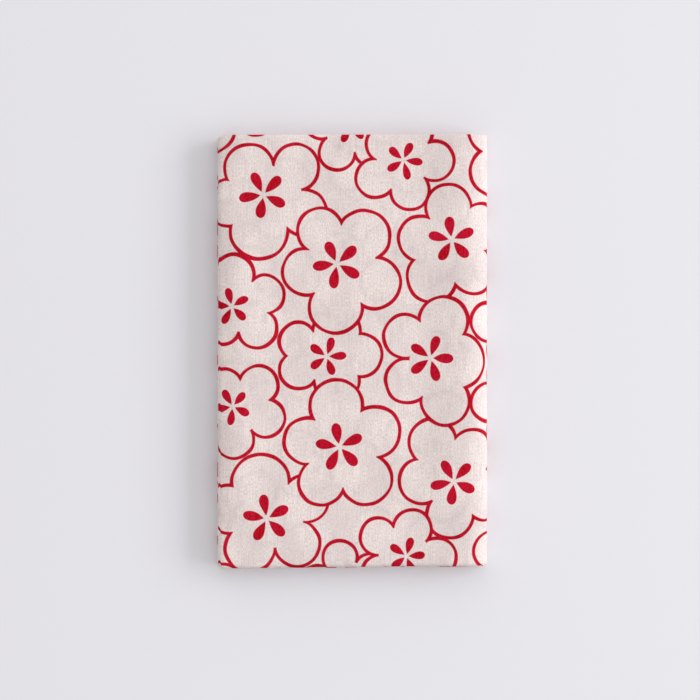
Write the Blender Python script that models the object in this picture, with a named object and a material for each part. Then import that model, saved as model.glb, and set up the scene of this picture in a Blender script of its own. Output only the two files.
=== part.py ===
# Folded tenugui, a thin cotton hand towel.
# One long cloth is doubled along its length, which puts a fold along +Y and both selvedges
# along -Y, and is then folded in half three times, which leaves one thick rounded spine on
# the right and the finer inner folds on the left.
# Metres, +Z up. The origin is the middle of the pile's base.

import math
from collections import namedtuple

import bpy
import bmesh

# Driving dimensions
PILE_WIDTH = 0.1123         # left folds to right spine, outside
DOUBLED_WIDTH = 0.1785      # fold to selvedges, half the width of the open cloth
PLY_THICKNESS = 0.0010      # the doubled cloth: two layers and the air between them
PLY_GAP = 0.00036           # air between one ply and the next
SPINE_SWELL = 0.10          # how much thicker the springy spine side stands
SPINE_SWELL_START = 0.022   # X where the pile starts to thicken
SPINE_SWELL_END = 0.045     # X where it has its full thickness
SHOULDER_DROP = 0.12        # how much thinner the pile is pressed at its left edge
SHOULDER_WIDTH = 0.011      # how far in from that edge the pressing reaches
SELVEDGE_DROP = 0.05        # how much thinner the pile lies at the selvedges, where nothing is folded
SELVEDGE_WIDTH = 0.032      # how far in from them that reaches
UNEVENNESS = 0.012          # soft rise and fall of the plies, as a share of their height
WAVE_LENGTH_X = 0.085       # length of that rise and fall across the pile
WAVE_LENGTH_Y = 0.120       # and along it
WAVE_START_X = 0.6          # where the rise and fall begins, as angles
WAVE_START_Y = -0.4

COTTON_COLOUR = (0.80, 0.73, 0.70, 1.0)
COTTON_ROUGHNESS = 0.9

# Mesh fineness
STEPS_IN_RUN = 14
COLUMNS_ALONG_Y = 8

# Where each run of cloth lies, from one end of the cloth to the other, counted in plies from the base
RUN_LEVELS = [0, 7, 4, 3, 2, 5, 6, 1]

# The ends and turns that the runs go between, in the same order.
# side: +1 right, -1 left. inset: from the pile's side to the turn's outer face.
# depth: how far the turn bulges past its runs. power: shapes the lower half of the bulge, where
# the pile's weight lies: 1 is round and less is squarer. slip: how far the cloth sits towards -Y there.
# steps: flat faces round the turn, none at a cut end.
Turn = namedtuple("Turn", "name side inset depth power slip steps")
TURNS = [
    Turn("lower cut end", -1, 0.0016, 0.0, 1.0, 0.0009, 0),
    Turn("outer spine", 1, 0.0, 0.0098, 0.35, 0.0, 14),
    Turn("outer fold of the upper half", -1, 0.0005, 0.0010, 0.8, 0.0001, 8),
    Turn("innermost spine", 1, 0.0056, 0.0009, 0.8, 0.0004, 6),
    Turn("fold of the lower half", -1, 0.0, 0.0007, 0.8, 0.0007, 6),
    Turn("third spine", 1, 0.0036, 0.0048, 0.5, 0.0004, 10),
    Turn("inner fold of the upper half", -1, 0.0024, 0.0007, 0.8, 0.0006, 6),
    Turn("second spine", 1, 0.0018, 0.0080, 0.4, 0.0002, 12),
    Turn("upper cut end", -1, 0.0009, 0.0, 1.0, 0.0007, 0),
]

PLY_PITCH = PLY_THICKNESS + PLY_GAP
PILE_LENGTH = DOUBLED_WIDTH + max(turn.slip for turn in TURNS)


def clear_scene():
    for old in list(bpy.data.objects):
        bpy.data.objects.remove(old, do_unlink=True)


def cotton_material():
    """Warm off-white cotton, the ground colour between the red lines."""
    material = bpy.data.materials.new("off_white_cotton")
    material.use_nodes = True
    material.diffuse_color = COTTON_COLOUR
    shader = material.node_tree.nodes["Principled BSDF"]
    shader.inputs["Base Color"].default_value = COTTON_COLOUR
    shader.inputs["Roughness"].default_value = COTTON_ROUGHNESS
    shader.inputs["Metallic"].default_value = 0.0
    return material


def smooth_step(low, high, value):
    share = min(max((value - low) / (high - low), 0.0), 1.0)
    return share * share * (3.0 - 2.0 * share)


def turn_centre(turn):
    """X where the runs that meet at this turn end and its bulge begins."""
    middle_of_ply = PILE_WIDTH / 2 - turn.inset - PLY_THICKNESS / 2
    return turn.side * (middle_of_ply - turn.depth)


def section_path():
    """The middle of the cloth as points of x, level and slip, from one cut end to the other."""
    path = []
    for run, level in enumerate(RUN_LEVELS):
        begin = TURNS[run]
        end = TURNS[run + 1]
        for step in range(STEPS_IN_RUN + 1):
            share = step / STEPS_IN_RUN
            x = turn_centre(begin) + share * (turn_centre(end) - turn_centre(begin))
            path.append((x, level, begin.slip + share * (end.slip - begin.slip)))
        for step in range(1, end.steps):
            angle = math.pi * step / end.steps
            next_level = RUN_LEVELS[run + 1]
            turned_level = level + (next_level - level) * (1.0 - math.cos(angle)) / 2
            bulge = math.sin(angle)
            if turned_level < (level + next_level) / 2:
                bulge **= end.power
            path.append((turn_centre(end) + end.side * end.depth * bulge, turned_level, end.slip))
    return path


def ply_height(x, y, level):
    """Height of the middle of a ply: flat on the base, more uneven further up."""
    swell = SPINE_SWELL * smooth_step(SPINE_SWELL_START, SPINE_SWELL_END, x)
    into_shoulder = max(1.0 - (x + PILE_WIDTH / 2) / SHOULDER_WIDTH, 0.0)
    into_selvedges = max(1.0 - (y + PILE_LENGTH / 2) / SELVEDGE_WIDTH, 0.0)
    drop = max(SHOULDER_DROP * into_shoulder ** 2, SELVEDGE_DROP * into_selvedges ** 2)
    wave_across = math.sin(math.tau * x / WAVE_LENGTH_X + WAVE_START_X)
    wave_along = math.cos(math.tau * y / WAVE_LENGTH_Y + WAVE_START_Y)
    rise = 1.0 + swell - drop + UNEVENNESS * wave_across * wave_along
    return PLY_THICKNESS / 2 + level * PLY_PITCH * rise


def folded_cloth():
    path = section_path()
    stretches = len(path) - 1
    cloth = bmesh.new()
    bmesh.ops.create_grid(cloth, x_segments=stretches, y_segments=COLUMNS_ALONG_Y, size=0.5)
    for vert in cloth.verts:
        x, level, slip = path[round((vert.co.x + 0.5) * stretches)]
        y = PILE_LENGTH / 2 - slip - (0.5 - vert.co.y) * DOUBLED_WIDTH
        vert.co = (x, y, ply_height(x, y, level))

    mesh = bpy.data.meshes.new("folded_cloth")
    cloth.to_mesh(mesh)
    cloth.free()
    mesh.shade_smooth()
    mesh.materials.append(cotton_material())
    towel = bpy.data.objects.new("folded_cloth", mesh)
    bpy.context.scene.collection.objects.link(towel)

    thickness = towel.modifiers.new("ply thickness", 'SOLIDIFY')
    thickness.thickness = PLY_THICKNESS
    thickness.offset = 0.0
    thickness.use_even_offset = True
    return towel


clear_scene()
folded_cloth()
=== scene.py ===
import math
from collections import namedtuple

import bmesh
import bpy
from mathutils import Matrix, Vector, noise


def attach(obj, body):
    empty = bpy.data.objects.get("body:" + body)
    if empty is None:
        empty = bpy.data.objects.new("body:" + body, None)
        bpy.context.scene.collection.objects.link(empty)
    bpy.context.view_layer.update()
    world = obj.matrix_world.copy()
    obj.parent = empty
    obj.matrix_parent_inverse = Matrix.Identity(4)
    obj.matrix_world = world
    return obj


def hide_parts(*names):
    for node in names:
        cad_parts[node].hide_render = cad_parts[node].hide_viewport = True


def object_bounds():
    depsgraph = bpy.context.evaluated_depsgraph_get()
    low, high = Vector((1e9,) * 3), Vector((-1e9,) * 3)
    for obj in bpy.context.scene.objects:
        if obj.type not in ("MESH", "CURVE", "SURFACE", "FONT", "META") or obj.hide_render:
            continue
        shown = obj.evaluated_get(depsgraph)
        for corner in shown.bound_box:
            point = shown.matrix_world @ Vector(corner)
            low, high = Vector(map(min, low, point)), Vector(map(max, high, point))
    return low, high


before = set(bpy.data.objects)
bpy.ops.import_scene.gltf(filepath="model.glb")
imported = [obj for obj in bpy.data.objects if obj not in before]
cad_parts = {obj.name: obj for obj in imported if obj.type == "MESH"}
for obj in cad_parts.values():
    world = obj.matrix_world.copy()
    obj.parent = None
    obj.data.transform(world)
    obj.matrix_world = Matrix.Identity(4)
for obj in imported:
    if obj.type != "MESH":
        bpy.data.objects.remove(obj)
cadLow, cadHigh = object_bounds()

# A folded tenugui: one long thin cotton cloth, doubled along its length and then folded
# in half three times. The frame gives the pile's box, and the section repeats its folds.
print("frame loaded, pile box", tuple(cadLow), tuple(cadHigh))

mm = 0.001
pileWidth = cadHigh.x - cadLow.x
pileTop = cadHigh.y                    # where the lengthwise fold of the top ply lies

towel = {
    "clothWidth": 357 * mm,            # selvedge to selvedge, open
    "doubledWidth": 178.5 * mm,        # lengthwise fold to selvedges
    "layerThickness": 0.42 * mm,       # one layer of cotton
    "layerSpacing": 0.66 * mm,         # middle to middle of the two layers in a ply
    "plyThickness": 1.0 * mm,
    "plyPitch": 1.36 * mm,
    "underLayerShows": 0.36 * mm,      # how far the second layer reaches past the first at the selvedges
    "longerAtLeft": 1.0 * mm,          # the top ply's lengthwise fold is a little askew to the selvedges
    "spineSwell": 0.10,                # the springy spine side stands this much thicker
    "spineSwellFrom": 22 * mm,
    "spineSwellTo": 45 * mm,
    "shoulderDrop": 0.18,              # the left folds are pressed this much thinner
    "shoulderWidth": 11 * mm,
    "selvedgeDrop": 0.14,              # the pile lies this much thinner at the selvedges
    "selvedgeWidth": 32 * mm,
    "unevenness": 0.012,
    "waveLengthX": 85 * mm,
    "waveLengthY": 120 * mm,
    "waveStartX": 0.6,
    "waveStartY": -0.4,
    "softWaveLength": 14 * mm,         # smaller rise and fall, different in every ply
    "softWaveHeight": 0.11 * mm,       # in the top ply, and less further down
    "softWavePerPly": 0.35,            # how much it changes from one ply to the next
    "creaseFade": 3,                   # power by which the creases fade towards the base
    "cornerRound": 0.9 * mm,           # the upper plies' corner at the upper left is worn round
    "cornerReach": 4.0 * mm,
    "cornerInset": 0.6 * mm,           # from the pile's side to where the wear is full
    "cornerAbove": 4,                  # plies above this level are worn
    "cornerTaper": 8,                  # the higher, the closer the wear keeps to the lengthwise fold
    "edgeWobble": 0.16 * mm,
    "edgeWaves": 45,                   # for each metre of cloth
    "wobbleAtFold": 0.4,               # share of the wobble that the lengthwise fold has
    "underLayerWaves": 60,             # for each metre of pile
    "underLayerEven": 0.75,            # share of underLayerShows that is always there
    "underLayerUneven": 0.5,           # share of it that comes and goes
    "underLayerSeed": 3.1,
    "edgeSeed": 7.7,
    "secondEdgeSeed": 5.0,
}
halfSpacing = towel["layerSpacing"] / 2
straight = towel["doubledWidth"] - halfSpacing      # one layer, from its selvedge to the lengthwise fold

# Where each run of cloth lies, from one cut end to the other, in plies from the base
runLevels = [0, 7, 4, 3, 2, 5, 6, 1]
topRun = 1
stepsInRun = 12
stepsInTopRun = 84
rowsInFirstLayer = 116
rowsInFold = 6
rowsInSecondLayer = 20

# side: +1 right, -1 left. inset: pile's side to the turn's outer face. depth: bulge past the runs.
# power: shapes the lower half of the bulge, 1 is round and less is squarer.
# slip: how far the cloth sits towards -Y there. steps: stretches round the turn.
Turn = namedtuple("Turn", "name side inset depth power slip steps")
turns = [
    Turn("lower cut end", -1, 1.6, 0.0, 1.0, 0.9, 0),
    Turn("outer spine", 1, 0.0, 9.8, 0.35, 0.0, 30),
    Turn("outer fold of the upper half", -1, 0.5, 1.0, 0.8, 0.1, 12),
    Turn("innermost spine", 1, 5.6, 0.9, 0.8, 0.4, 8),
    Turn("fold of the lower half", -1, 0.0, 0.7, 0.8, 0.7, 8),
    Turn("third spine", 1, 3.6, 4.8, 0.5, 0.4, 12),
    Turn("inner fold of the upper half", -1, 2.4, 0.7, 0.8, 0.6, 8),
    Turn("second spine", 1, 1.8, 8.0, 0.4, 0.2, 16),
    Turn("upper cut end", -1, 0.9, 0.0, 1.0, 0.7, 0),
]

# Soft creases and troughs of the top plies: middle, half length and half width in mm,
# heading in degrees from +X, and height in mm, below nought for a trough.
Crease = namedtuple("Crease", "x y halfLength halfWidth heading height")
creases = [
    Crease(-47, 28, 34, 8, 91, 0.50),
    Crease(-47, -34, 40, 8, 88, 0.45),
    Crease(-16, -4, 70, 13, 90, -0.22),
    Crease(48, -3, 46, 8.5, 88, 0.66),
    Crease(30, -4, 54, 8, 87, -0.40),
    Crease(8, 26, 50, 9, 84, 0.16),
    Crease(-51, 67, 7, 1.0, 176, -0.35),
    Crease(-53, 29, 5, 1.2, 160, -0.20),
    Crease(-22, 70, 32, 9, 8, -0.18),
    Crease(-14, 50, 30, 6, 20, 0.10),
    Crease(5, -62, 40, 8, 12, -0.12),
    Crease(26, 66, 26, 5, 130, -0.12),
]


def smoothStep(low, high, value):
    share = min(max((value - low) / (high - low), 0.0), 1.0)
    return share * share * (3.0 - 2.0 * share)


def turnCentre(turn):
    middleOfPly = pileWidth / 2 - turn.inset * mm - towel["plyThickness"] / 2
    return turn.side * (middleOfPly - turn.depth * mm)


Station = namedtuple("Station", "x level slip run")


def sectionStations():
    # the middle of the doubled cloth, from one cut end to the other
    stations = []
    for run, level in enumerate(runLevels):
        begin, end = turns[run], turns[run + 1]
        steps = stepsInTopRun if run == topRun else stepsInRun
        for step in range(steps + 1):
            share = step / steps
            x = turnCentre(begin) + share * (turnCentre(end) - turnCentre(begin))
            stations.append(Station(x, level, (begin.slip + share * (end.slip - begin.slip)) * mm, run))
        for step in range(1, end.steps):
            angle = math.pi * step / end.steps
            nextLevel = runLevels[run + 1]
            turnedLevel = level + (nextLevel - level) * (1.0 - math.cos(angle)) / 2
            bulge = math.sin(angle)
            if turnedLevel < (level + nextLevel) / 2:
                bulge **= end.power
            x = turnCentre(end) + end.side * end.depth * mm * bulge
            stations.append(Station(x, turnedLevel, end.slip * mm, run + 0.5))
    return stations


def creaseHeight(x, y):
    height = 0.0
    for crease in creases:
        heading = math.radians(crease.heading)
        dx, dy = x / mm - crease.x, y / mm - crease.y
        along = (dx * math.cos(heading) + dy * math.sin(heading)) / crease.halfLength
        across = (dy * math.cos(heading) - dx * math.sin(heading)) / crease.halfWidth
        height += crease.height * math.exp(-along * along - across * across)
    return height * mm


def plyHeight(x, y, level):
    swell = towel["spineSwell"] * smoothStep(towel["spineSwellFrom"], towel["spineSwellTo"], x)
    intoShoulder = max(1.0 - (x + pileWidth / 2) / towel["shoulderWidth"], 0.0)
    intoSelvedges = max(1.0 - (y + pileTop) / towel["selvedgeWidth"], 0.0)
    drop = max(towel["shoulderDrop"] * intoShoulder ** 2, towel["selvedgeDrop"] * intoSelvedges ** 2)
    waveAcross = math.sin(math.tau * x / towel["waveLengthX"] + towel["waveStartX"])
    waveAlong = math.cos(math.tau * y / towel["waveLengthY"] + towel["waveStartY"])
    rise = 1.0 + swell - drop + towel["unevenness"] * waveAcross * waveAlong
    topShare = level / max(runLevels)
    waveLength = towel["softWaveLength"]
    spot = Vector((x / waveLength, y / waveLength, level * towel["softWavePerPly"]))
    soft = noise.noise(spot) * towel["softWaveHeight"] * topShare
    lying = towel["plyThickness"] / 2 + level * towel["plyPitch"] * rise
    return lying + creaseHeight(x, y) * topShare ** towel["creaseFade"] + soft


def rowPlaces():
    # across the cloth: first layer, half round of the lengthwise fold, second layer
    rows = []
    for row in range(rowsInFirstLayer + 1):
        rows.append(("first", straight * row / rowsInFirstLayer))
    for row in range(1, rowsInFold):
        rows.append(("fold", math.pi * row / rowsInFold))
    for row in range(rowsInSecondLayer + 1):
        share = row / rowsInSecondLayer
        rows.append(("second", straight * (1.0 - share)))
    return rows


def layerReach(station, layer):
    # from the lengthwise fold to the selvedge
    reach = straight
    if station.run == topRun:
        reach += towel["longerAtLeft"] * min(max(0.5 - station.x / pileWidth, 0.0), 1.0)
    if layer == "second":
        spot = Vector((station.x * towel["underLayerWaves"], towel["underLayerSeed"], station.level))
        shown = towel["underLayerEven"] + towel["underLayerUneven"] * noise.noise(spot)
        reach += towel["underLayerShows"] * shown
    return reach


def edgeWobble(along, layer):
    seed = 0.0 if layer == "first" else towel["secondEdgeSeed"]
    spot = Vector((along * towel["edgeWaves"], towel["edgeSeed"], seed))
    return noise.noise(spot) * towel["edgeWobble"]


def cornerWear(station, share):
    # share: how near the lengthwise fold
    if station.level <= towel["cornerAbove"]:
        return 0.0
    fromSide = station.x + pileWidth / 2 - towel["cornerInset"]
    intoCorner = smoothStep(towel["cornerReach"], 0.0, fromSide)
    return towel["cornerRound"] * intoCorner ** 2 * max(share, 0.0) ** towel["cornerTaper"]


def foldedSheet():
    stations, rows = sectionStations(), rowPlaces()
    lastStation, lastRow = len(stations) - 1, len(rows) - 1

    def middle(index, y):
        station = stations[min(max(index, 0), lastStation)]
        return Vector((station.x, y, plyHeight(station.x, y, station.level)))

    # distance along the cloth, nought at the middle of the top run and growing to the right there
    alongCloth = [0.0]
    for index in range(lastStation):
        alongCloth.append(alongCloth[-1] + (middle(index + 1, 0.0) - middle(index, 0.0)).length)
    topStations = [i for i, s in enumerate(stations) if s.run == topRun]
    nearMiddle = min(topStations, key=lambda i: abs(stations[i].x))
    alongCloth = [alongCloth[nearMiddle] - a + stations[nearMiddle].x for a in alongCloth]

    def place(index, row):
        station = stations[index]
        layer, amount = rows[row]
        share = amount / straight if layer != "fold" else 1.0
        wobble = edgeWobble(alongCloth[index], layer) * (1.0 - (1.0 - towel["wobbleAtFold"]) * share)
        foldY = pileTop - halfSpacing - station.slip
        y = foldY - layerReach(station, layer) * (1.0 - share) + wobble - cornerWear(station, share)
        before, after = middle(index - 1, y), middle(index + 1, y)
        direction = (after - before).normalized()
        leftNormal = Vector((-direction.z, 0.0, direction.x)).normalized()
        turned = {"first": 0.0, "fold": amount if layer == "fold" else 0.0, "second": math.pi}[layer]
        point = middle(index, y) - leftNormal * halfSpacing * math.cos(turned)
        point.y += halfSpacing * math.sin(turned)
        return point

    def acrossCloth(row):
        layer, amount = rows[row]
        lowest = pileTop - towel["doubledWidth"]
        if layer == "first":
            return lowest + amount
        if layer == "fold":
            return lowest + straight + halfSpacing * amount
        return lowest + straight + halfSpacing * math.pi + (straight - amount)

    sheet = bmesh.new()
    bmesh.ops.create_grid(sheet, x_segments=lastStation, y_segments=lastRow, size=0.5)
    flatMap = sheet.loops.layers.uv.new("flat")
    for face in sheet.faces:
        for loop in face.loops:
            index = round((loop.vert.co.x + 0.5) * lastStation)
            row = round((loop.vert.co.y + 0.5) * lastRow)
            loop[flatMap].uv = (alongCloth[index], acrossCloth(row))
    for vert in sheet.verts:
        vert.co = place(round((vert.co.x + 0.5) * lastStation), round((vert.co.y + 0.5) * lastRow))
    mesh = bpy.data.meshes.new("tenugui")
    sheet.to_mesh(mesh)
    sheet.free()
    cloth = bpy.data.objects.new("tenugui", mesh)
    bpy.context.scene.collection.objects.link(cloth)
    mesh.shade_smooth()
    thickness = cloth.modifiers.new("layer thickness", "SOLIDIFY")
    thickness.thickness = towel["layerThickness"]
    thickness.offset = 0.0
    print("sheet folded,", len(stations), "stations by", len(rows), "rows, cloth length",
          round(alongCloth[0] - alongCloth[-1], 4))
    return cloth, alongCloth[0] - alongCloth[-1]


# Blossom chart, read off in mm on the flat cloth, back to front. Two petals meet at each cusp.
# cusps: heading in degrees and reach of each. petals: reach of the petal that follows each cusp
# counter-clockwise. The last four are for the stamens: a shift, the heading of the first, and their size.
repeatX, repeatY = 156.0, 228.0
petalCount = 5
Blossom = namedtuple("Blossom", "name x y cusps petals stamenX stamenY stamenTurn stamenSize")


def even(firstHeading, reach):
    return tuple((firstHeading + 360 / petalCount * cusp, reach) for cusp in range(petalCount))


blossoms = [
    Blossom("upper left corner", -64.5, 104.5, even(48, 15.5), (22.3,) * 5, 0, 0, 12, 0.97),
    Blossom("upper left back", -40.0, 113.0, even(18, 15.0), (22.5,) * 5, 0, 0, 54, 0.94),
    Blossom("lower left corner", -58.0, -110.4, even(39, 15.0), (23.3,) * 5, 0, 0, 3, 0.94),
    Blossom("top back", 35.0, 111.0, even(20, 12.0), (19,) * 5, 0, 0, 56, 0.75),
    Blossom("right back, upper", 80.0, 47.0, even(0, 11.0), (17,) * 5, 0, 0, 36, 0.69),
    Blossom("right back, lower", 82.0, -50.0, even(30, 11.0), (17,) * 5, 0, 0, 66, 0.69),
    Blossom("upper right edge", 70.5, 83.5, even(36, 16.6), (25, 25, 23.8, 24, 25), 0, 0, 0, 1.04),
    Blossom("lower right edge", 70.0, -83.3, even(0, 12.5), (19.5,) * 5, 0, 0, 36, 0.78),
    Blossom("right edge, upper middle", 70.0, 12.4, even(0, 13.0), (20.5,) * 5, 0, 0, 36, 0.81),
    Blossom("right edge, lower middle", 70.0, -21.3, even(0, 13.0), (20.5,) * 5, 0, 0, 36, 0.81),
    Blossom("top middle", -0.5, 94.0, even(62, 12.0), (19.8,) * 5, 0, 0, 26, 0.75),
    Blossom("bottom middle", -2.5, -97.0, even(66, 11.4), (19,) * 5, 0, 0, 30, 0.71),
    Blossom("right, upper", 41.5, 44.5, ((63, 18.0), (130, 15.2), (202, 17.0), (276, 16.9), (351, 15.7)),
            (25.1, 22.3, 26.1, 24, 25), 0.1, 2.1, 24, 1.0),
    Blossom("top right", 21.5, 80.0, ((34, 13.3), (105, 12.5), (177, 12.5), (247, 14.4), (319, 12.2)),
            (20, 17.8, 22, 21, 21), 0.1, -0.4, 66, 0.81),
    Blossom("right, lower", 42.5, -52.0, ((11, 15.7), (87, 16.3), (155, 17.4), (227, 14.5), (296, 18.6)),
            (22.4, 26.7, 22.7, 25.3, 26.4), -0.1, -2.0, 47, 1.0),
    Blossom("right, middle", 35.0, -3.5, ((43, 16.0), (112, 18.1), (176, 12.2), (249, 17.3), (317, 16.8)),
            (26.8, 24.3, 23.3, 27.4, 20.5), -2.3, 0.7, 0, 0.99),
    Blossom("bottom right", 21.5, -85.0, ((33, 12.0), (108, 13.4), (178, 11.5), (249, 12.0), (321, 12.0)),
            (19.8, 20.9, 19, 19, 22), 1.2, 0, 3, 0.8),
    Blossom("left, upper", -47.5, 19.5, ((60, 12.8), (136, 14.0), (203, 13.0), (271, 11.8), (347, 13.4)),
            (21.5, 20, 17.8, 20.4, 20.1), -2.8, -0.3, 28, 0.8),
    Blossom("left, lower", -47.5, -23.5, ((16, 14.5), (86, 13.0), (157, 12.5), (225, 13.6), (303, 10.7)),
            (21.3, 18.3, 19, 20.2, 19.6), -2.4, 1.3, 47, 0.79),
    Blossom("upper left", -36.5, 64.0, ((13, 16.9), (76, 15.3), (153, 17.4), (219, 18.1), (307, 16.2)),
            (27.8, 24, 25, 25.2, 27), -0.5, 1.7, 45, 1.03),
    Blossom("lower left", -35.5, -68.0, ((57, 17.6), (138, 19.7), (204, 17.0), (283, 14.4), (351, 16.5)),
            (26, 26, 25, 26.4, 27.5), -0.1, -0.8, 27, 1.02),
    Blossom("middle, small", -10.5, -2.0, ((35, 17.0), (117, 12.6), (178, 17.0), (242, 11.6), (329, 15.7)),
            (20.3, 21, 19.7, 19.3, 23), 0, 0.3, 1, 0.83),
    Blossom("upper middle", -5.5, 35.5, ((13, 17.0), (86, 18.4), (151, 16.1), (226, 15.8), (301, 18.7)),
            (27.2, 26.1, 23.5, 27.5, 27), -0.6, 1.2, 43, 1.06),
    Blossom("lower middle", -5.0, -40.0, ((60, 18.8), (132, 17.0), (205, 15.3), (274, 17.6), (347, 16.8)),
            (28.6, 23.6, 25.3, 27.5, 26.4), -0.2, 0.5, 27, 1.05),
]

dye = {
    "lineWidth": 1.50,              # mm
    "lineUneven": 0.34,             # share of the width that comes and goes
    "edgeSoftness": 0.30,           # mm, how far the dye creeps
    "handWobble": 0.45,             # mm, how far the drawn line wanders
    "wobbleLength": 11.0,           # mm
    "stamenStart": 1.0,             # mm from the middle, on a blossom whose cusps reach 16 mm
    "stamenTip": 9.8,
    "stamenWidth": 4.35,
    "stamenEdge": 0.1,              # share of dye right at a stamen's edge
    "cuspBlunt": 0.965,             # how far towards a cusp the inside of the blossom goes
    "cuspFill": 0.30,               # circle behind a cusp, as a share of its reach
    "cuspLonger": 1.04,             # a cusp gets its circle if it outreaches the shortest one this much
    "chartScale": 0.993,            # the chart is read in the photo's scale halfway up the pile
    "colour": (0.36, 0.0, 0.002, 1.0),
    "fadedColour": (0.61, 0.008, 0.040, 1.0),
    "fadedShare": 0.5,
    "fading": 0.95,                 # how strongly the dye fades where the thread and the clouds differ
}

cotton = {
    "colour": (0.930, 0.828, 0.788, 1.0),
    "slubColour": (0.722, 0.634, 0.613, 1.0),
    "slubRange": (0.40, 0.60),
    "cloudColour": (0.56, 0.48, 0.50, 1.0),
    "cloudRange": (0.33, 0.67),
    "cloudShare": 0.29,
    "longWarp": (0.25, 9.0),        # mm, width and length of the streaks down the cloth
    "longWarpShare": 0.36,
    "shortWarp": (0.27, 1.0),
    "shortWarpShare": 0.54,
    "weft": (3.0, 0.36),            # mm, length and width of the streaks across it
    "weftShare": 0.10,
    "clouds": (15.0, 21.0),
    "roughness": 0.92,
    "specular": 0.08,
    "sheen": 0.015,
    "sheenRoughness": 0.5,
    "threadPitch": 0.42,            # mm
    "weaveDepth": 0.05,             # mm
    "weaveStrength": 0.55,
    "ribRelief": 0.5,
    "streakRelief": 1.6,
    "underLayerShade": 0.13,        # how much the dye of the layer beneath darkens the top
    "underLayerTint": (0.30, 0.22, 0.30, 1.0),
    "underLineWidth": 1.4,          # mm
    "underSoftness": 2.0,           # mm
}


def addNode(tree, kind, **settings):
    node = tree.nodes.new(kind)
    for name, value in settings.items():
        setattr(node, name, value)
    return node


def feed(tree, socket, value):
    # a socket takes a link or a plain value
    if isinstance(value, bpy.types.NodeSocket):
        tree.links.new(value, socket)
    elif value is not None:
        socket.default_value = value


def calc(tree, operation, *values, clamp=False):
    node = addNode(tree, "ShaderNodeMath", operation=operation, use_clamp=clamp)
    for socket, value in zip(node.inputs, values):
        feed(tree, socket, value)
    return node.outputs[0]


def vectorCalc(tree, operation, *values, answer="Vector"):
    node = addNode(tree, "ShaderNodeVectorMath", operation=operation)
    for socket, value in zip(node.inputs, values):
        feed(tree, socket, value)
    return node.outputs[answer]


def mixed(tree, kind, share, first, second):
    node = addNode(tree, "ShaderNodeMix", data_type=kind)
    sockets = {"FLOAT": (2, 3, 0), "VECTOR": (4, 5, 1), "RGBA": (6, 7, 2)}[kind]
    feed(tree, node.inputs[0], share)
    feed(tree, node.inputs[sockets[0]], first)
    feed(tree, node.inputs[sockets[1]], second)
    return node.outputs[sockets[2]]


def headingVector(heading):
    angle = math.radians(heading)
    return Vector((math.cos(angle), math.sin(angle)))


def petalCircles(blossom):
    # the circle of each petal passes through its two cusps and has the petal's reach
    cusps = [headingVector(heading) * reach for heading, reach in blossom.cusps]
    circles = []
    for petal, reach in enumerate(blossom.petals):
        chord = cusps[(petal + 1) % petalCount] - cusps[petal]
        halfway = cusps[petal] + chord / 2
        outward = Vector((chord.y, -chord.x)).normalized()
        rise = reach - halfway.dot(outward)
        beyond = (rise * rise - chord.length_squared / 4) / (2 * rise)
        centre = Vector((blossom.x, blossom.y)) + halfway + outward * beyond
        circles.append((centre, rise - beyond))
    return circles


def cuspCircles(blossom):
    # small circles that fill the space behind the cusps that reach further than the shortest one:
    # the round middle of the blossom ends at the shortest
    circles = []
    shortest = min(reach for heading, reach in blossom.cusps)
    for heading, reach in blossom.cusps:
        if reach > shortest * dye["cuspLonger"]:
            radius = reach * dye["cuspFill"]
            away = headingVector(heading) * (reach * dye["cuspBlunt"] - radius)
            circles.append((Vector((blossom.x, blossom.y)) + away, radius))
    return circles


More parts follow.
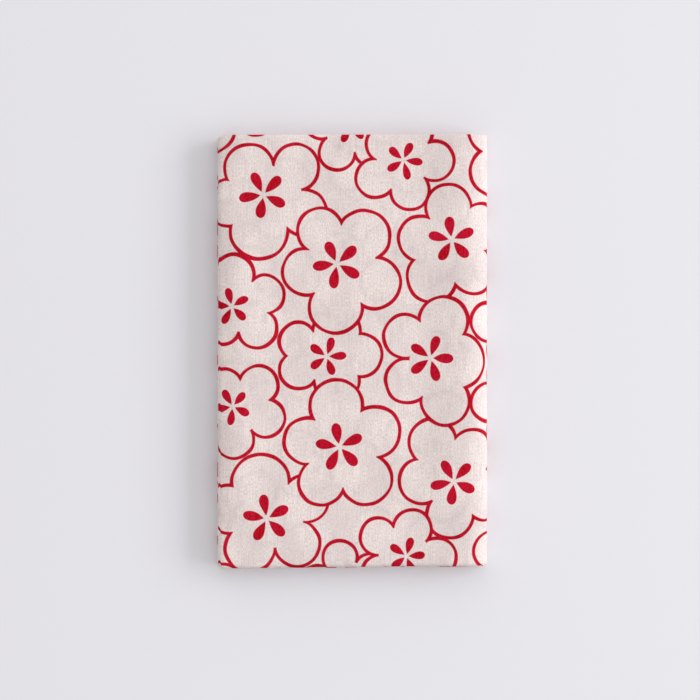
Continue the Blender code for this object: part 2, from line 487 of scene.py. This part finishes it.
def blossomGroup():
    # flat place on the cloth in mm -> share of dye there
    tree = bpy.data.node_groups.new("blossoms", "ShaderNodeTree")
    tree.interface.new_socket("Place", in_out="INPUT", socket_type="NodeSocketVector")
    tree.interface.new_socket("Line Width", in_out="INPUT", socket_type="NodeSocketFloat")
    tree.interface.new_socket("Softness", in_out="INPUT", socket_type="NodeSocketFloat")
    tree.interface.new_socket("Dye", in_out="OUTPUT", socket_type="NodeSocketFloat")
    given = addNode(tree, "NodeGroupInput")
    place, width, softness = given.outputs[0], given.outputs[1], given.outputs[2]
    halfWidth = calc(tree, "MULTIPLY", width, 0.5)
    sharpness = calc(tree, "DIVIDE", 1.0, softness)
    farAway = (99.0, 99.0, 0.0)         # beyond any stamen
    line, stamenPlace = 0.0, farAway
    for blossom in blossoms:
        corner = (blossom.x + repeatX / 2, blossom.y + repeatY / 2, 1.0)
        opposite = (blossom.x - repeatX / 2, blossom.y - repeatY / 2, -1.0)
        near = vectorCalc(tree, "WRAP", place, corner, opposite)
        reaches = [reach for heading, reach in blossom.cusps]
        away = vectorCalc(tree, "DISTANCE", near, (blossom.x, blossom.y, 0.0), answer="Value")
        outside = calc(tree, "SUBTRACT", away, min(reaches) * dye["cuspBlunt"])
        for centre, radius in petalCircles(blossom) + cuspCircles(blossom):
            away = vectorCalc(tree, "DISTANCE", near, (centre.x, centre.y, 0.0), answer="Value")
            outside = calc(tree, "MINIMUM", outside, calc(tree, "SUBTRACT", away, radius))
        # inOuter is 1 anywhere inside the line's outer side, and onLine is 1 from its inner side outwards
        beforeOuter = calc(tree, "SUBTRACT", halfWidth, outside)
        pastInner = calc(tree, "ADD", halfWidth, outside)
        inOuter = calc(tree, "MULTIPLY_ADD", beforeOuter, sharpness, 0.5, clamp=True)
        onLine = calc(tree, "MULTIPLY_ADD", pastInner, sharpness, 0.5, clamp=True)
        line = mixed(tree, "FLOAT", inOuter, line, onLine)
        size = blossom.stamenSize
        turned = math.radians(blossom.stamenTurn)
        shift = (-(blossom.x + blossom.stamenX) / size, -(blossom.y + blossom.stamenY) / size, turned)
        local = vectorCalc(tree, "MULTIPLY_ADD", near, (1 / size, 1 / size, 0.0), shift)
        stamenPlace = mixed(tree, "VECTOR", inOuter, stamenPlace, local)
    parts = addNode(tree, "ShaderNodeSeparateXYZ")
    feed(tree, parts.inputs[0], stamenPlace)
    flat = vectorCalc(tree, "MULTIPLY", stamenPlace, (1.0, 1.0, 0.0))
    away = vectorCalc(tree, "LENGTH", flat, answer="Value")
    heading = calc(tree, "ARCTAN2", parts.outputs[1], parts.outputs[0])
    heading = calc(tree, "SUBTRACT", heading, parts.outputs[2])
    sector = calc(tree, "MULTIPLY_ADD", heading, petalCount / math.tau, petalCount + 0.5)
    sector = calc(tree, "FRACT", sector)
    offAxis = calc(tree, "MULTIPLY", calc(tree, "SUBTRACT", sector, 0.5), math.tau / petalCount)
    along = calc(tree, "MULTIPLY", away, calc(tree, "COSINE", offAxis))
    across = calc(tree, "ABSOLUTE", calc(tree, "MULTIPLY", away, calc(tree, "SINE", offAxis)))
    length = dye["stamenTip"] - dye["stamenStart"]
    share = calc(tree, "MULTIPLY", calc(tree, "SUBTRACT", along, dye["stamenStart"]), 1 / length, clamp=True)
    closing = calc(tree, "SQRT", calc(tree, "SUBTRACT", 1.0, share))
    widest = math.sqrt(4 / 27)          # of share times closing, two thirds of the way out
    half = calc(tree, "MULTIPLY", calc(tree, "MULTIPLY", share, closing), dye["stamenWidth"] / 2 / widest)
    within = calc(tree, "SUBTRACT", half, across)
    stamen = calc(tree, "MULTIPLY_ADD", within, sharpness, dye["stamenEdge"], clamp=True)
    result = addNode(tree, "NodeGroupOutput")
    feed(tree, result.inputs[0], calc(tree, "MAXIMUM", line, stamen))
    print("blossom group drawn,", len(blossoms), "blossoms,", len(tree.nodes), "nodes")
    return tree


def clothMaterial():
    material = bpy.data.materials.new("dyed cotton")
    material.use_nodes = True
    tree = material.node_tree
    shader = tree.nodes["Principled BSDF"]
    shader.inputs["Roughness"].default_value = cotton["roughness"]
    shader.inputs["Specular IOR Level"].default_value = cotton["specular"]
    shader.inputs["Sheen Weight"].default_value = cotton["sheen"]
    shader.inputs["Sheen Roughness"].default_value = cotton["sheenRoughness"]
    flatMap = addNode(tree, "ShaderNodeUVMap", uv_map="flat")
    toChart = 1 / mm / dye["chartScale"]
    place = vectorCalc(tree, "MULTIPLY", flatMap.outputs[0], (toChart, toChart, 0.0))

    # the drawn line wanders a little and is never quite even
    wander = addNode(tree, "ShaderNodeTexNoise", noise_dimensions="2D")
    feed(tree, wander.inputs["Vector"], place)
    wander.inputs["Scale"].default_value = 1 / dye["wobbleLength"]
    wander.inputs["Detail"].default_value = 1.0
    drift = vectorCalc(tree, "SUBTRACT", wander.outputs["Color"], (0.5, 0.5, 0.5))
    furthest = dye["handWobble"] * 2
    drawn = vectorCalc(tree, "MULTIPLY_ADD", drift, (furthest, furthest, 0.0), place)
    parts = addNode(tree, "ShaderNodeSeparateXYZ")
    feed(tree, parts.inputs[0], drift)
    uneven = dye["lineWidth"] * dye["lineUneven"] * 2
    width = calc(tree, "MULTIPLY_ADD", parts.outputs[2], uneven, dye["lineWidth"])

    group = blossomGroup()
    printed = addNode(tree, "ShaderNodeGroup", node_tree=group)
    feed(tree, printed.inputs[0], drawn)
    feed(tree, printed.inputs[1], width)
    printed.inputs[2].default_value = dye["edgeSoftness"]

    # the layer beneath is the same cloth, mirrored about the lengthwise fold
    mirror = vectorCalc(tree, "MULTIPLY_ADD", place, (1.0, -1.0, 0.0), (0.0, 2 * pileTop * toChart, 0.0))
    beneath = addNode(tree, "ShaderNodeGroup", node_tree=group)
    feed(tree, beneath.inputs[0], mirror)
    beneath.inputs[1].default_value = cotton["underLineWidth"]
    beneath.inputs[2].default_value = cotton["underSoftness"]

    # threads: long and short streaks down the cloth, fainter ones across, and soft clouds
    def streaks(lengths, detail=0.0):
        texture = addNode(tree, "ShaderNodeTexNoise", noise_dimensions="2D")
        feed(tree, texture.inputs["Vector"], vectorCalc(tree, "DIVIDE", place, (*lengths, 1.0)))
        texture.inputs["Scale"].default_value = 1.0
        texture.inputs["Detail"].default_value = detail
        return texture.outputs["Fac"]

    longWarp = calc(tree, "MULTIPLY", streaks(cotton["longWarp"]), cotton["longWarpShare"])
    shortWarp = calc(tree, "MULTIPLY", streaks(cotton["shortWarp"]), cotton["shortWarpShare"])
    weft = calc(tree, "MULTIPLY", streaks(cotton["weft"]), cotton["weftShare"])
    cloudy = streaks(cotton["clouds"], detail=1.0)
    thready = calc(tree, "ADD", calc(tree, "ADD", longWarp, shortWarp), weft)

    def ranged(value, limits):
        node = addNode(tree, "ShaderNodeMapRange")
        feed(tree, node.inputs[0], value)
        node.inputs[1].default_value, node.inputs[2].default_value = limits
        return node.outputs[0]

    slub = ranged(thready, cotton["slubRange"])
    ground = mixed(tree, "RGBA", slub, cotton["colour"], cotton["slubColour"])
    shade = calc(tree, "MULTIPLY", beneath.outputs[0], cotton["underLayerShade"])
    ground = mixed(tree, "RGBA", shade, ground, cotton["underLayerTint"])
    clouds = calc(tree, "MULTIPLY", ranged(cloudy, cotton["cloudRange"]), cotton["cloudShare"])
    ground = mixed(tree, "RGBA", clouds, ground, cotton["cloudColour"])
    fading = calc(tree, "SUBTRACT", slub, cloudy)
    fading = calc(tree, "MULTIPLY_ADD", fading, dye["fading"], dye["fadedShare"], clamp=True)
    dyed = mixed(tree, "RGBA", fading, dye["colour"], dye["fadedColour"])
    colour = mixed(tree, "RGBA", printed.outputs[0], ground, dyed)
    feed(tree, shader.inputs["Base Color"], colour)

    # plain weave: two sets of ribs, over and under
    scaled = vectorCalc(tree, "MULTIPLY", place, (math.pi / cotton["threadPitch"],) * 2 + (0.0,))
    ribs = addNode(tree, "ShaderNodeSeparateXYZ")
    feed(tree, ribs.inputs[0], scaled)
    ribsDown, ribsAcross = calc(tree, "SINE", ribs.outputs[0]), calc(tree, "SINE", ribs.outputs[1])
    woven = calc(tree, "MULTIPLY", calc(tree, "MULTIPLY", ribsDown, ribsAcross), cotton["ribRelief"])
    relief = calc(tree, "ADD", woven, calc(tree, "MULTIPLY", thready, cotton["streakRelief"]))
    bump = addNode(tree, "ShaderNodeBump")
    bump.inputs["Strength"].default_value = cotton["weaveStrength"]
    bump.inputs["Distance"].default_value = cotton["weaveDepth"] * mm
    feed(tree, bump.inputs["Height"], relief)
    feed(tree, shader.inputs["Normal"], bump.outputs[0])
    return material


studio = {
    "floorColour": (0.805, 0.806, 0.848, 1.0),
    "floorSize": 16.0,
    "floorRoughness": 0.75,
    "floorSpecular": 0.2,
    "photoField": 291.5 * mm,       # what the frame spans halfway up the pile
    "photoCentre": (-0.83 * mm, 0.62 * mm),
    "lens": 100.0,
    "sensor": 36.0,
    "windowPower": 33.0,
    "windowWidth": 2.1,
    "windowHeight": 0.95,
    "windowDistance": 2.4,
    "windowHeading": 4.0,           # degrees from +X towards +Y
    "windowElevation": 25.5,
    "windowColour": (0.97, 0.98, 1.0),
    "skyColour": (1.0, 0.98, 0.97, 1.0),
    "skyStrength": 0.775,
    "skyTilt": (0.22, 0.33, 0.0),   # how much brighter the room is towards +X and +Y
}


def floorMaterial():
    material = bpy.data.materials.new("pale table")
    material.use_nodes = True
    shader = material.node_tree.nodes["Principled BSDF"]
    shader.inputs["Base Color"].default_value = studio["floorColour"]
    shader.inputs["Roughness"].default_value = studio["floorRoughness"]
    shader.inputs["Specular IOR Level"].default_value = studio["floorSpecular"]
    return material


def buildStudio():
    table = bmesh.new()
    bmesh.ops.create_grid(table, x_segments=4, y_segments=4, size=studio["floorSize"] / 2)
    mesh = bpy.data.meshes.new("table")
    table.to_mesh(mesh)
    table.free()
    floor = bpy.data.objects.new("table", mesh)
    bpy.context.scene.collection.objects.link(floor)
    mesh.materials.append(floorMaterial())

    window = bpy.data.lights.new("window", "AREA")
    window.shape = "RECTANGLE"
    window.size = studio["windowWidth"]
    window.size_y = studio["windowHeight"]
    window.energy = studio["windowPower"]
    window.color = studio["windowColour"]
    heading, elevation = math.radians(studio["windowHeading"]), math.radians(studio["windowElevation"])
    direction = Vector((math.cos(heading) * math.cos(elevation), math.sin(heading) * math.cos(elevation),
                        math.sin(elevation)))
    windowObject = bpy.data.objects.new("window", window)
    windowObject.location = direction * studio["windowDistance"]
    windowObject.rotation_euler = direction.to_track_quat("Z", "Y").to_euler()
    bpy.context.scene.collection.objects.link(windowObject)

    world = bpy.data.worlds.new("room")
    world.use_nodes = True
    sky = world.node_tree.nodes["Background"]
    sky.inputs["Color"].default_value = studio["skyColour"]
    skyward = addNode(world.node_tree, "ShaderNodeTexCoord").outputs["Generated"]
    towards = vectorCalc(world.node_tree, "DOT_PRODUCT", skyward, studio["skyTilt"], answer="Value")
    brightness = calc(world.node_tree, "MULTIPLY_ADD", towards, studio["skyStrength"], studio["skyStrength"])
    feed(world.node_tree, sky.inputs["Strength"], brightness)
    bpy.context.scene.world = world
    bpy.context.scene.view_settings.view_transform = "Standard"

    camera = bpy.data.cameras.new("camera")
    camera.lens = studio["lens"]
    camera.sensor_width = studio["sensor"]
    cameraObject = bpy.data.objects.new("camera", camera)
    height = studio["lens"] / camera.sensor_width * studio["photoField"]
    cameraObject.location = (*studio["photoCentre"], cadHigh.z / 2 + height)
    bpy.context.scene.collection.objects.link(cameraObject)
    bpy.context.scene.camera = cameraObject
    print("table, light and camera placed")


buildStudio()
cloth, clothLength = foldedSheet()
cloth.data.materials.append(clothMaterial())
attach(cloth, "root")
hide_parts("folded_cloth")
